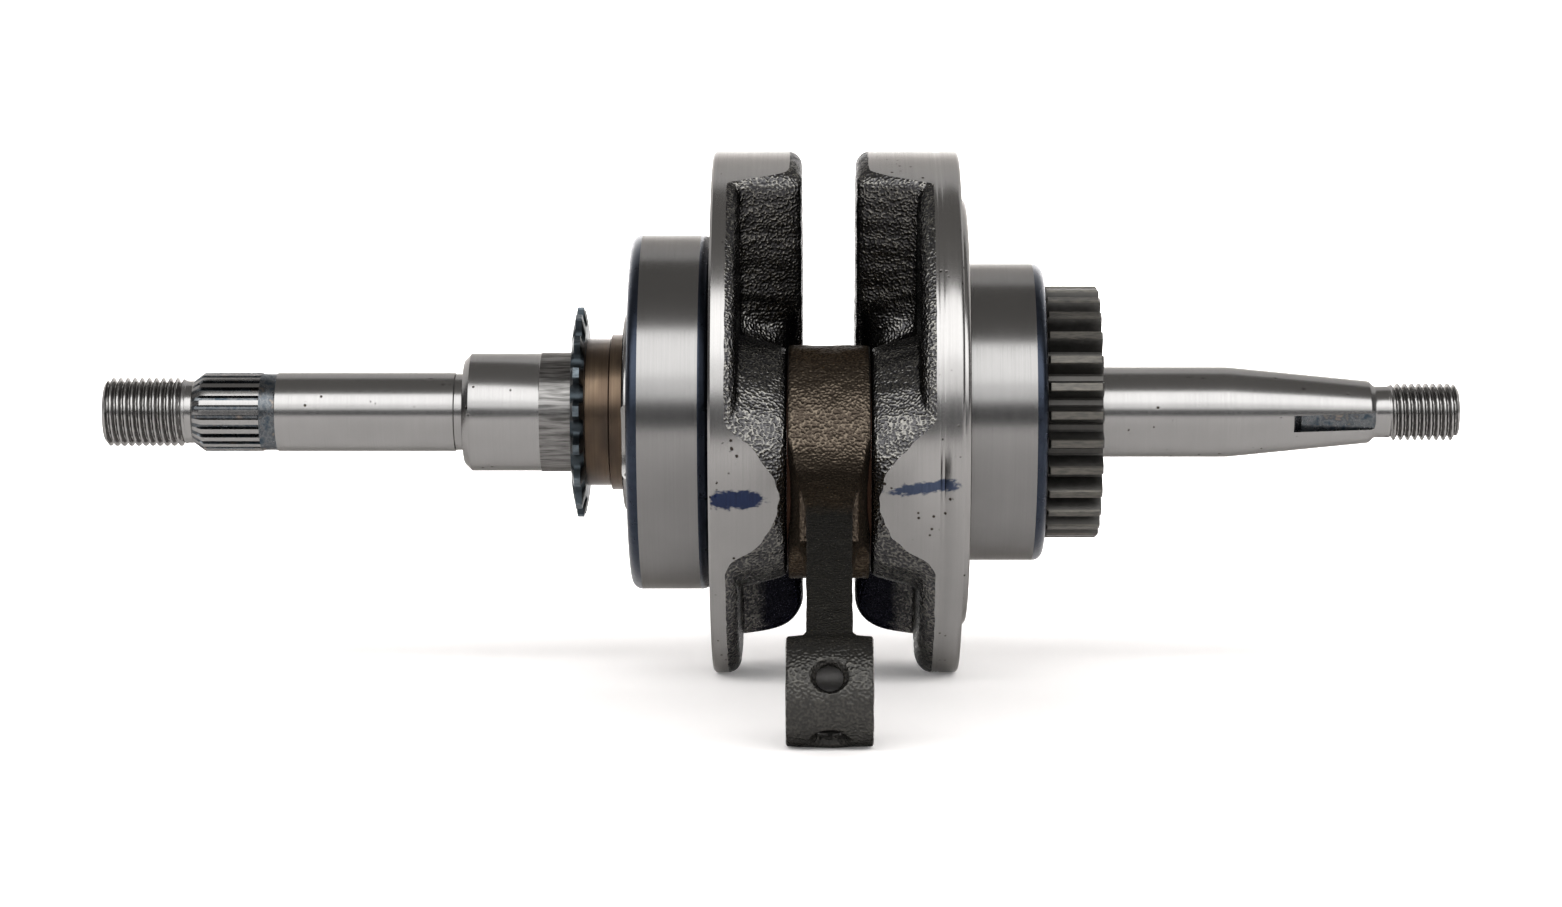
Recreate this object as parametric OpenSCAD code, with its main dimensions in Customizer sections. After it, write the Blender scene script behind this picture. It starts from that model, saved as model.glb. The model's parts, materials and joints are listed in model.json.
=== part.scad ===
// Built-up crankshaft of a small four-stroke engine, with its connecting rod, main bearings,
// timing sprocket and pump drive gear. Millimetres. The crank axis is the X axis, the taper end
// is at +X, and X = 0 is the middle of the connecting rod. The crankpin is on the -Y side.

/* [Crank] */
// Distance from the crank axis to the crankpin axis (half the stroke)
throw = 26; // [25.5:0.1:26.5]
// How far the crankpin lies below the horizontal plane, in degrees
throw_drop = 17.3; // [0:0.1:40]
// Radius of both crank webs
web_r = 45.6; // [45:0.1:47]
// Outer face of the left web, measured from the rod's middle
left_web_out = 20.0; // [19.5:0.1:20.5]
// Thickness of the left web's thin disc
left_disc_t = 4.7; // [4:0.1:6]
// Outer face of the right web's rim, measured from the rod's middle
right_web_out = 22.4; // [22.3:0.1:22.6]
// Thickness of the right web's thin disc
right_disc_t = 7.3; // [6:0.1:8]
// Gap between the two counterweights
weight_gap = 9.4; // [9:0.1:10]
// Gap between the two pin bosses
boss_gap = 14.2; // [14.1:0.1:14.6]
// Radius of a pin boss at its inner face
boss_tip_r = 19.4; // [19:0.1:20]
// Radius of a pin boss where it meets the disc
boss_root_r = 21.5; // [21:0.1:22.5]
// Radius of the clearance pocket round the crankpin in each counterweight
pocket_r = 28.5; // [27:0.1:29]
// Angle from the counterweight's middle to its upper end, in degrees
weight_up = 100; // [90:1:105]
// Angle from the counterweight's middle to its lower end, in degrees
weight_down = 86; // [80:1:95]

/* [Crankpin and big end] */
// Crankpin diameter
pin_d = 24; // [23.9:0.1:24.1]
// Big-end roller diameter
roller_d = 4; // [3.9:0.05:4.05]
// Number of big-end rollers
roller_n = 14; // [12:1:15]
// Outer diameter of the rod's big end
big_end_d = 39.4; // [38:0.1:40]
// Width of the rod's big end
big_end_w = 13.6; // [13.4:0.1:13.8]
// Thrust washer thickness
washer_t = 1.0; // [0.8:0.1:1.1]

/* [Connecting rod] */
// Distance between the big-end and small-end centres
rod_length = 100; // [95:1:110]
// Width of the rod's shank along the crank axis
shank_w = 6.9; // [6:0.1:8]
// Outer diameter of the small end
small_end_d = 16.3; // [16:0.1:18]
// Width of the small end
small_end_w = 12.8; // [12:0.1:13.5]
// Piston pin bore
small_bore_d = 12; // [11.5:0.1:12.5]

/* [Left shaft] */
// Left end of the shaft
left_end = 126.7; // [126:0.1:127.5]
// Left thread diameter
left_thread_d = 12; // [11.8:0.1:12]
// Thread pitch at both ends
pitch = 1.25; // [1:0.25:1.25]
// Spline outer diameter
spline_d = 13.76; // [13.6:0.02:13.9]
// Number of spline teeth
spline_n = 25; // [20:1:30]
// Left journal diameter
left_shaft_d = 13.8; // [13.6:0.1:14]
// Left shoulder diameter
shoulder_d = 20.66; // [20.4:0.02:20.8]

/* [Right shaft] */
// Right end of the shaft
right_end = 110.1; // [109.5:0.1:111]
// Right thread diameter
right_thread_d = 10; // [9.8:0.1:10]
// Right shaft diameter
right_shaft_d = 15.8; // [15.5:0.1:16]
// Diameter at the taper's small end
taper_end_d = 11.0; // [10.9:0.1:11.4]
// Keyway width
keyway_w = 3; // [2.5:0.1:3.5]

/* [Sprocket and gear] */
// Timing sprocket teeth
sprocket_n = 17; // [16:1:18]
// Timing chain pitch
chain_pitch = 6.35; // [6.35]
// Timing sprocket outer diameter
sprocket_d = 36.8; // [36.4:0.1:37.2]
// Drive gear teeth
gear_n = 28; // [26:1:30]
// Drive gear outer diameter
gear_d = 44.07; // [43.5:0.01:44.5]

/* [Hidden] */
$fn = 96;
eps = 0.01;

// Bearings: bore, outside diameter, width, ball diameter, ball count, middle on the X axis
left_bearing = [35, 62, 14, 7.94, 11, -27.3];
right_bearing = [25, 52, 15, 7.94, 9, 29.75];
ball_play = 0.04;
cage_sheet = 0.6;

weight_in = weight_gap / 2;
boss_in = boss_gap / 2;
left_disc_in = left_web_out - left_disc_t;
right_disc_in = right_web_out - right_disc_t;
right_seat_x = right_bearing[5] - right_bearing[2] / 2;
left_seat_x = left_bearing[5] + left_bearing[2] / 2;
race_r = pin_d / 2 + roller_d;
roller_pitch_r = (pin_d + roller_d) / 2;
washer_in = boss_in - washer_t - 0.1;
washer_r = 17.6;
gear_x = 37.5;
gear_w = 9.4;
gear_seat_r = 10;
sprocket_x = -44.5;
sprocket_t = 2.3;
steel = [0.60, 0.60, 0.60];
ground_steel = [0.74, 0.74, 0.73];
thread_depth = 0.6134 * pitch;

// Spins an outline of [radius, x] points round the X axis
module turned(outline) rotate([0, 90, 0]) rotate_extrude() polygon(outline);

// A round bar along X from a to b
module bar(a, b, r) translate([a, 0, 0]) rotate([0, 90, 0]) cylinder(r = r, h = b - a);

// Turns its children from the crank's own frame, with the pin at -Y, to the rest position
module at_throw() rotate([throw_drop, 0, 0]) children();

// Puts its children on the crankpin axis
module at_pin() at_throw() translate([0, -throw, 0]) children();

// Extrudes a flat outline drawn in the crank's Y-Z plane from x = a to x = b
module slab(a, b) translate([a, 0, 0]) rotate([90, 0, 90]) linear_extrude(b - a) children();

// Ring-shaped thread crests of one pitch each, starting at x0 and going towards +X
function crests(x0, n, r) = [
    for (i = [0 : n - 1], p = [[0, 0.06], [-thread_depth, 0.44], [-thread_depth, 0.56], [0, 0.94]])
        [r + p[0], x0 + (i + p[1]) * pitch]
];

// Outline of a counterweight, centred on +Y, with a neck that joins it to the pin boss
module weight_outline() {
    reach = web_r * 1.5;
    span = weight_up + weight_down;
    intersection() {
        circle(r = web_r);
        polygon(concat([[0, 0]], [
            for (i = [0 : 6])
                let (a = -weight_down + span * i / 6) reach * [cos(a), sin(a)]
        ]));
    }
    translate([-throw / 2, -13]) square([throw / 2, 26]);
}

// One web, drawn on the +X side: the disc, the counterweight and the pin boss
module web(disc_in, out) {
    at_throw() difference() {
        union() {
            slab(disc_in, out) circle(r = web_r);
            slab(boss_in, out) weight_outline();
            slab(weight_in, boss_in + eps) difference() {
                weight_outline();
                translate([-throw, 0]) circle(r = pocket_r);
            }
            intersection() {
                translate([boss_in, -throw, 0]) rotate([0, 90, 0])
                    cylinder(r1 = boss_tip_r, r2 = boss_root_r, h = disc_in - boss_in + eps);
                slab(boss_in, out) circle(r = web_r);
            }
        }
        translate([0, -throw, 0]) bar(0, out + 1, pin_d / 2);
    }
}

module left_crank_half() color(ground_steel) {
    thread_n = 11;
    thread_x = -left_end + 0.7;
    neck_x = thread_x + thread_n * pitch;
    difference() {
        union() {
            mirror([1, 0, 0]) web(left_disc_in, left_web_out);
            turned(concat(
                [[0, -left_end], [5.1, -left_end]],
                crests(thread_x, thread_n, left_thread_d / 2),
                [
                    [5.5, neck_x], [5.5, -111.0], [spline_d / 2, -109.2],
                    [spline_d / 2, -99.2], [6.7, -98.8], [6.7, -96.9],
                    [left_shaft_d / 2, -96.5], [left_shaft_d / 2, -65.4], [6.7, -65.2],
                    [6.7, -63.9], [9.1, -63.7], [shoulder_d / 2, -62.5],
                    [shoulder_d / 2, -50.5], [9.9, -50.4], [9.9, -50.1], [10.45, -50.0],
                    [10.45, -35.7],
                    [16.75, -35.7], [left_bearing[0] / 2, -34.3],
                    [left_bearing[0] / 2, left_seat_x], [20.5, left_seat_x],
                    [20.5, -left_web_out + 1], [0, -left_web_out + 1]
                ]
            ));
        }
        at_pin() bar(-19.6, 2 - left_web_out, pin_d / 2);
        for (i = [0 : spline_n - 1]) rotate([360 * (i + 0.5) / spline_n, 0, 0])
            slab(-111.5, -99.0) polygon([[6.25, -0.12], [7.2, -0.62], [7.2, 0.62], [6.25, 0.12]]);
    }
}

module right_crank_half() color(ground_steel) {
    thread_n = 9;
    thread_x = right_end - 0.6 - thread_n * pitch;
    key_floor = 4.6;
    difference() {
        union() {
            web(right_disc_in, right_web_out);
            turned(concat(
                [
                    [0, right_web_out - 3], [37.4, right_web_out - 3],
                    [37.4, right_web_out + 0.9], [36.9, right_web_out + 1.4],
                    [28.4, right_web_out + 1.4], [27.9, right_web_out + 0.9],
                    [27.9, right_seat_x - 0.6], [16.5, right_seat_x - 0.6],
                    [16.5, right_seat_x], [right_bearing[0] / 2, right_seat_x],
                    [right_bearing[0] / 2, gear_x - 0.3], [gear_seat_r, gear_x - 0.2],
                    [gear_seat_r, gear_x + gear_w], [right_shaft_d / 2, gear_x + gear_w],
                    [right_shaft_d / 2, 69.85], [taper_end_d / 2, 94.25], [4.5, 95.6],
                    [4.5, thread_x]
                ],
                crests(thread_x, thread_n, right_thread_d / 2),
                [[4.2, right_end], [0, right_end]]
            ));
        }
        // The bearing seat is turned into the web's outer face, inside the raised ring
        difference() {
            bar(right_seat_x - 0.6, right_seat_x + 2, 27.9);
            bar(right_seat_x - 1, right_seat_x + 3, 16.5);
        }
        // The pin hole goes on into the recess and ends blind under the raised ring
        at_pin() bar(right_web_out - 4, 22.1, pin_d / 2);
        at_throw() translate([80.9, -10, -keyway_w / 2]) cube([16, 10 - key_floor, keyway_w]);
        // The double turned line round the machined rim
        for (x = [18.35, 19.05]) difference() {
            bar(x - 0.12, x + 0.12, web_r + 1);
            bar(x - 0.2, x + 0.2, web_r - 0.15);
        }
    }
}

// The pressed crankpin, with an oil passage from its left end to the rollers
module crank_pin() color(ground_steel) at_pin() {
    difference() {
        turned([
            [0, -19.6], [11.5, -19.6], [12, -19.1], [12, 21.6], [11.5, 22.1], [0, 22.1]
        ]);
        bar(-20, 3, 4);
        cylinder(d = 3, h = pin_d / 2 + 1);
    }
}

module crank_pin_plug() color(steel) at_pin() {
    turned([[0, -18.8], [3.6, -18.8], [4, -18.4], [4, -15.8], [0, -15.8]]);
}

// The rod's outline in its own Y-Z plane: big end at 0, small end at -rod_length
module rod_outline() {
    circle(d = big_end_d);
    translate([-rod_length, 0]) circle(d = small_end_d);
    polygon([
        [-11, 16.3], [-16.4, 10.9], [-19.6, 8.2], [-24, 6.5], [-30, 6.1], [-rod_length + 8, 5.6],
        [-rod_length + 5, 6.4], [-rod_length, 7.9], [-rod_length, -7.9],
        [-rod_length + 5, -6.4], [-rod_length + 8, -5.6], [-30, -6.1], [-24, -6.5],
        [-19.6, -8.2], [-16.4, -10.9], [-11, -16.3]
    ]);
}

// The rod seen from above, which sets its width along the crank axis
module rod_plan() {
    w = shank_w / 2;
    polygon([
        [21, big_end_w / 2], [-16.9, big_end_w / 2], [-18.8, 6.2], [-24, 5.2], [-30, 4.4],
        [-39, 3.75], [-60, w], [-rod_length + 10, w], [-rod_length + 8, w + 0.6],
        [-rod_length + 7, small_end_w / 2], [-rod_length - 9, small_end_w / 2],
        [-rod_length - 9, -small_end_w / 2], [-rod_length + 7, -small_end_w / 2],
        [-rod_length + 8, -w - 0.6], [-rod_length + 10, -w], [-60, -w], [-39, -3.75],
        [-30, -4.4], [-24, -5.2], [-18.8, -6.2], [-16.9, -big_end_w / 2], [21, -big_end_w / 2]
    ]);
}

module connecting_rod() color([0.20, 0.18, 0.16]) at_pin() difference() {
    intersection() {
        slab(-big_end_w / 2, big_end_w / 2) rod_outline();
        translate([0, 0, -25]) linear_extrude(50) rotate([180, 0, 90]) mirror([0, 1]) rod_plan();
    }
    bar(-10, 10, race_r);
    for (side = [-1, 1]) {
        // Side recess that holds the thrust washer
        bar(side > 0 ? washer_in - 0.05 : -10, side > 0 ? 10 : 0.05 - washer_in, washer_r + 0.4);
        // Channel of the I-section shank
        slab(side > 0 ? 1.5 : -6, side > 0 ? 6 : -1.5) polygon([
            [-27, 4.2], [-rod_length + 15, 3.5], [-rod_length + 13, 2.2],
            [-rod_length + 13, -2.2], [-rod_length + 15, -3.5], [-27, -4.2], [-25, -2.6],
            [-25, 2.6]
        ]);
    }
    translate([0, -rod_length, 0]) {
        bar(-10, 10, small_bore_d / 2);
        // Oil holes through the small end's outer half, with countersunk mouths
        for (a = [-40, 40]) rotate([a, 0, 0]) {
            rotate([90, 0, 0]) cylinder(d = 4, h = 10);
            translate([0, -small_end_d / 2 + 0.9, 0]) rotate([90, 0, 0])
                cylinder(d1 = 4, d2 = 6.2, h = 1.1);
        }
    }
}

module big_end_rollers() color(ground_steel) at_pin() {
    for (i = [0 : roller_n - 1]) rotate([360 * i / roller_n, 0, 0])
        translate([0, roller_pitch_r, 0]) bar(-5, 5, roller_d / 2 - ball_play);
}

module big_end_cage() color([0.55, 0.55, 0.53]) at_pin() difference() {
    bar(-5.8, 5.8, 15.4);
    bar(-7, 7, 12.6);
    for (i = [0 : roller_n - 1]) rotate([360 * i / roller_n, 0, 0])
        translate([0, roller_pitch_r, 0]) bar(-5.1, 5.1, roller_d / 2 + 0.06);
}

module thrust_washer(a) color([0.72, 0.42, 0.24]) at_pin() difference() {
    bar(a, a + washer_t, washer_r);
    bar(a - 1, a + washer_t + 1, pin_d / 2);
}
module left_thrust_washer() thrust_washer(-washer_in - washer_t);
module right_thrust_washer() thrust_washer(washer_in);

// Tooth outline: a disc cut by one round roller gullet between each pair of teeth
module sprocket_outline() {
    pitch_r = chain_pitch / 2 / sin(180 / sprocket_n);
    difference() {
        circle(d = sprocket_d);
        for (i = [0 : sprocket_n - 1]) rotate(360 * (i + 0.5) / sprocket_n) {
            translate([pitch_r, 0]) circle(r = 1.72);
            translate([pitch_r, 0]) polygon([[0, -1.72], [3, -2.3], [3, 2.3], [0, 1.72]]);
        }
    }
}

// Timing sprocket and its hub, shrunk on to the shaft. One tooth points 2 degrees above -Y.
module timing_sprocket() color([0.16, 0.18, 0.20]) difference() {
    union() {
        intersection() {
            rotate([-182, 0, 0]) slab(sprocket_x, sprocket_x + sprocket_t) sprocket_outline();
            turned([
                [0, sprocket_x], [16.4, sprocket_x], [18.5, sprocket_x + 0.55],
                [18.5, sprocket_x + sprocket_t - 0.55], [16.4, sprocket_x + sprocket_t],
                [0, sprocket_x + sprocket_t]
            ]);
        }
        turned([
            [0, sprocket_x + 0.5], [12.85, sprocket_x + 0.5], [12.85, -38.1], [13.6, -37.8],
            [13.6, -35.7], [0, -35.7]
        ]);
    }
    bar(-50, -30, 10.45);
}

// Straight spur gear: trapezoid teeth on a root disc, trimmed by a turned blank
module drive_gear() color([0.30, 0.29, 0.28]) difference() {
    intersection() {
        rotate([180, 0, 0]) slab(gear_x, gear_x + gear_w) {
            circle(r = gear_d / 2 - 3.35);
            for (i = [0 : gear_n - 1]) rotate(360 * i / gear_n) polygon([
                [17, -1.62], [19.2, -1.5], [20.6, -1.14], [22.4, -0.62],
                [22.4, 0.62], [20.6, 1.14], [19.2, 1.5], [17, 1.62]
            ]);
        }
        turned([
            [0, gear_x], [gear_d / 2 - 0.6, gear_x], [gear_d / 2, gear_x + 0.6],
            [gear_d / 2, gear_x + gear_w - 0.6], [gear_d / 2 - 0.6, gear_x + gear_w],
            [0, gear_x + gear_w]
        ]);
    }
    bar(gear_x - 1, gear_x + gear_w + 1, gear_seat_r);
}

// Ball bearing pieces. b is one of the bearing lists in the Hidden section.
function ball_circle_r(b) = (b[0] + b[1]) / 4;

module outer_ring(b) color(ground_steel) translate([b[5], 0, 0]) difference() {
    c = 1.0;
    r = b[1] / 2;
    w = b[2] / 2;
    land = ball_circle_r(b) + b[3] * 0.30;
    turned([
        [land + 0.3, -w], [r - c, -w], [r, c - w], [r, w - c], [r - c, w], [land + 0.3, w],
        [land, w - 0.3], [land, 0.3 - w]
    ]);
    groove(b);
}

module inner_ring(b) color(ground_steel) translate([b[5], 0, 0]) difference() {
    c = 0.8;
    r = b[0] / 2;
    w = b[2] / 2;
    land = ball_circle_r(b) - b[3] * 0.30;
    turned([
        [r + c, -w], [land - 0.3, -w], [land, 0.3 - w], [land, w - 0.3], [land - 0.3, w],
        [r + c, w], [r, w - c], [r, c - w]
    ]);
    groove(b);
}

// The ball track: a round groove a little wider than the balls
module groove(b) rotate([0, 90, 0]) rotate_extrude()
    translate([ball_circle_r(b), 0]) circle(r = b[3] / 2 + ball_play);

// A ball with its poles on the X axis
module ball(r) rotate([0, 90, 0]) sphere(r = r, $fn = 48);

module balls(b) color([0.80, 0.80, 0.80]) translate([b[5], 0, 0])
    for (i = [0 : b[4] - 1]) rotate([360 * i / b[4], 0, 0])
        translate([0, ball_circle_r(b), 0]) ball(b[3] / 2 - ball_play);

// One half of a pressed ribbon cage, on the side of its bearing given by side (-1 or 1)
module cage_half(b, side) color([0.62, 0.60, 0.55]) translate([b[5], 0, 0]) difference() {
    pocket = b[3] / 2 + 0.1;
    band = 2.0;
    intersection() {
        union() {
            bar(side > 0 ? 0 : -cage_sheet, side > 0 ? cage_sheet : 0, ball_circle_r(b) + band);
            for (i = [0 : b[4] - 1]) rotate([360 * i / b[4], 0, 0])
                translate([0, ball_circle_r(b), 0]) ball(pocket + cage_sheet);
        }
        difference() {
            bar(side > 0 ? 0 : -10, side > 0 ? 10 : 0, ball_circle_r(b) + band);
            bar(-11, 11, ball_circle_r(b) - band);
        }
    }
    for (i = [0 : b[4] - 1]) rotate([360 * i / b[4], 0, 0])
        translate([0, ball_circle_r(b), 0]) ball(pocket);
    for (i = [0 : b[4] - 1]) rotate([360 * (i + 0.5) / b[4], 0, 0])
        translate([0, ball_circle_r(b), 0]) bar(-2, 2, 0.6);
}

module rivets(b) color([0.55, 0.53, 0.48]) translate([b[5], 0, 0])
    for (i = [0 : b[4] - 1]) rotate([360 * (i + 0.5) / b[4], 0, 0])
        translate([0, ball_circle_r(b), 0]) turned([
            [0, -1.1], [0.7, -1.1], [1.1, -cage_sheet], [0.6, -cage_sheet], [0.6, cage_sheet],
            [1.1, cage_sheet], [0.7, 1.1], [0, 1.1]
        ]);

module left_bearing_outer_ring() outer_ring(left_bearing);
module left_bearing_inner_ring() inner_ring(left_bearing);
module left_bearing_balls() balls(left_bearing);
module left_bearing_cage_left() cage_half(left_bearing, -1);
module left_bearing_cage_right() cage_half(left_bearing, 1);
module left_bearing_rivets() rivets(left_bearing);
module right_bearing_outer_ring() outer_ring(right_bearing);
module right_bearing_inner_ring() inner_ring(right_bearing);
module right_bearing_balls() balls(right_bearing);
module right_bearing_cage_left() cage_half(right_bearing, -1);
module right_bearing_cage_right() cage_half(right_bearing, 1);
module right_bearing_rivets() rivets(right_bearing);

left_crank_half();
right_crank_half();
crank_pin();
crank_pin_plug();
connecting_rod();
big_end_rollers();
big_end_cage();
left_thrust_washer();
right_thrust_washer();
timing_sprocket();
drive_gear();
left_bearing_outer_ring();
left_bearing_inner_ring();
left_bearing_balls();
left_bearing_cage_left();
left_bearing_cage_right();
left_bearing_rivets();
right_bearing_outer_ring();
right_bearing_inner_ring();
right_bearing_balls();
right_bearing_cage_left();
right_bearing_cage_right();
right_bearing_rivets();
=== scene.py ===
import json
import math

import bmesh
import bpy
import numpy as np
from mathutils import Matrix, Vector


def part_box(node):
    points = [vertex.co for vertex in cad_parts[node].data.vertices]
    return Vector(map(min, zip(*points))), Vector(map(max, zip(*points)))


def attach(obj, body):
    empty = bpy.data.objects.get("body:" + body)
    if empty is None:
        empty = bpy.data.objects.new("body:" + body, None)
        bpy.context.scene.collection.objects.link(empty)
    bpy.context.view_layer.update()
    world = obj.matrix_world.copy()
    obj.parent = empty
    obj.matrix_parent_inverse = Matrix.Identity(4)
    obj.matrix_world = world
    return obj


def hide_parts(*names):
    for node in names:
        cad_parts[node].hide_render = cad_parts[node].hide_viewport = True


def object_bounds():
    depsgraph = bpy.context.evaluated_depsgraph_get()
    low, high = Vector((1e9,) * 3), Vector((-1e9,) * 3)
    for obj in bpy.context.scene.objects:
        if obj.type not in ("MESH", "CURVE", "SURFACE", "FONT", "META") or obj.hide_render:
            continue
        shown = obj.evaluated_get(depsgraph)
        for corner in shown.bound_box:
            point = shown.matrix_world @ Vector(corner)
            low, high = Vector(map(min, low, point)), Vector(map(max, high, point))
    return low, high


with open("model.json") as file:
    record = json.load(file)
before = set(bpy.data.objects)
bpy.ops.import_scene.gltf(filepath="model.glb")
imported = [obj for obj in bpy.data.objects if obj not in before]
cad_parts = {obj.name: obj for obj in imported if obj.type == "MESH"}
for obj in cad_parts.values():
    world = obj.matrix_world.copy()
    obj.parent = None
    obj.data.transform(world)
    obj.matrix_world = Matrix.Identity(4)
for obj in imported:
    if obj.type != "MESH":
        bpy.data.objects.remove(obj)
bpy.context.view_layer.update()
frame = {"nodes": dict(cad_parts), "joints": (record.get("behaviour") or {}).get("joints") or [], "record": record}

import openvdb
from mathutils import Matrix, Vector

MM = 0.001

# ---------------------------------------------------------------- sizes, in millimetres
# The crank axis is X. The throw points to -Y and THROW_DROP below the horizontal.
joint = {j["name"]: j for j in frame["joints"]}
_, pin_y, pin_z = (v / MM for v in joint["rod_swing"]["pos_m"])
THROW = math.hypot(pin_y, pin_z)
THROW_DROP = math.atan2(-pin_z, -pin_y)
mounts = {m["name"]: m for m in frame["record"]["mounts"]}


def mount_r(name):
    return mounts[name]["dims"]["r_mm"]


def node_box(name):
    """A CAD node's lowest and highest corners, in millimetres."""
    low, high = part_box(name)
    return np.array(low) / MM, np.array(high) / MM


_, left_high = node_box("left_crank_half")
WEB_R = left_high[2]
PIN_R = 12.0
LEFT_WEB_OUT = 20.0
LEFT_DISC = 4.7
RIGHT_WEB_OUT = 22.4
RIGHT_DISC = 7.3

# Inner faces of the webs: the pin boss, the counterweight and the pocket between them. X is
# counted from the rod's middle plane, and the two angles are the counterweight's ends.
BOSS_X = 7.1
BOSS_R = 19.4
WEIGHT_X = -left_high[0]
WEIGHT_UP = math.radians(100)
WEIGHT_DOWN = math.radians(-81)
POCKET_IN_R = 26.9
POCKET_R = 30.3
DRAFT = 4.2
# More than this far below the crank axis, the inner faces get painted shade.
UNDERSIDE_SHADE_Z = 28.8

# Shafts. SEAT_X is where the scored seat beside the sprocket ends.
SEAT_X = -50.2
SEAT_R = 10.45
THREAD_PITCH = 1.25
THREAD_DEPTH = 0.84
SPLINE_R = 6.88
SPLINE_ROOT_R = 6.2
SPLINE_TEETH = 25

# Toothed wheels
GEAR_TEETH = 28
GEAR_TIP_R = 22.03
SPROCKET_TEETH = 17
SPROCKET_TIP_R = 18.4
SPROCKET_THICK = 2.3
CHAIN_PITCH = 6.35
CHAIN_ROLLER_R = 1.72

# Main bearings: side, ball circle radius, ball diameter, ball count, bore radius. The track's
# radius and the land's distance from the ball circle are parts of the ball diameter.
BEARINGS = (("left", 24.25, 7.94, 11, 17.5), ("right", 19.25, 7.94, 9, 12.5))
TRACK_R = 0.51
LAND = 0.30


# ---------------------------------------------------------------- noise
class Waves:
    """Smooth seeded noise: plane waves of random direction, as bumps on a forging are."""

    def __init__(self, seed, shortest, longest):
        count = 48
        rng = np.random.default_rng(seed)
        directions = rng.normal(size=(count, 3))
        directions /= np.linalg.norm(directions, axis=1)[:, None]
        lengths = rng.uniform(shortest, longest, count)
        self.k = directions * (2 * math.pi / lengths)[:, None]
        self.phase = rng.uniform(0, 2 * math.pi, count)
        self.weight = lengths / lengths.sum() * math.sqrt(count)

    def __call__(self, x, y, z):
        total = np.zeros(np.broadcast(x, y, z).shape)
        for (kx, ky, kz), phase, weight in zip(self.k, self.phase, self.weight):
            total += weight * np.sin(kx * x + ky * y + kz * z + phase)
        return total


# ---------------------------------------------------------------- blends
def smooth_min(a, b, k):
    t = np.clip(0.5 + 0.5 * (b - a) / k, 0, 1)
    return b * (1 - t) + a * t - k * t * (1 - t)


def smooth_max(a, b, k):
    return -smooth_min(-a, -b, k)


def smooth_step(t):
    t = np.clip(t, 0, 1)
    return t * t * (3 - 2 * t)


def soft_plus(t, k):
    return k * np.logaddexp(0, t / k)


def round_join(a, b, radius):
    """Joins two insides, positive inwards, with a fillet of the given radius."""
    gap = np.hypot(np.maximum(radius + a, 0), np.maximum(radius + b, 0))
    return gap - np.maximum(radius, np.minimum(-a, -b))


def corner(r, edge, radius):
    """How far a face falls back where it rounds over towards the edge radius."""
    into = np.clip(r - (edge - radius), 0, radius)
    return radius - np.sqrt(radius * radius - into * into)


# ---------------------------------------------------------------- mesh making
def mesh_object(name, verts, faces, material_index=None, sharp=35):
    """A mesh piece from millimetre points, shaded smooth with its sharp edges kept."""
    mesh = bpy.data.meshes.new(name)
    mesh.from_pydata([tuple(v) for v in np.asarray(verts) * MM], [], faces)
    mesh.validate()
    if material_index is not None:
        mesh.polygons.foreach_set("material_index", material_index)
    mesh.polygons.foreach_set("use_smooth", [True] * len(mesh.polygons))
    mesh.set_sharp_from_angle(angle=math.radians(sharp))
    piece = bpy.data.objects.new(name, mesh)
    bpy.context.scene.collection.objects.link(piece)
    return piece


def keep_borders(bm):
    """Keeps each edge between two finishes sharp."""
    for edge in bm.edges:
        if len({face.material_index for face in edge.link_faces}) > 1:
            edge.smooth = False


def outward(piece):
    """Turns every face of a closed piece outwards, and keeps each edge between two finishes."""
    bm = bmesh.new()
    bm.from_mesh(piece.data)
    bmesh.ops.recalc_face_normals(bm, faces=bm.faces)
    if bm.calc_volume(signed=True) < 0:
        bmesh.ops.reverse_faces(bm, faces=bm.faces)
    keep_borders(bm)
    bm.to_mesh(piece.data)
    bm.free()


def cut(piece, cutter):
    """Cuts one piece by another with an exact boolean, and removes the cutter."""
    mod = piece.modifiers.new("cut", "BOOLEAN")
    mod.object = cutter
    mod.operation = "DIFFERENCE"
    mod.solver = "EXACT"
    graph = bpy.context.evaluated_depsgraph_get()
    mesh = bpy.data.meshes.new_from_object(piece.evaluated_get(graph))
    piece.modifiers.clear()
    old = piece.data
    piece.data = mesh
    bpy.data.meshes.remove(old)
    bpy.data.objects.remove(cutter)
    mesh.set_sharp_from_angle(angle=math.radians(35))
    bm = bmesh.new()
    bm.from_mesh(mesh)
    keep_borders(bm)
    bm.to_mesh(mesh)
    bm.free()


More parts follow.
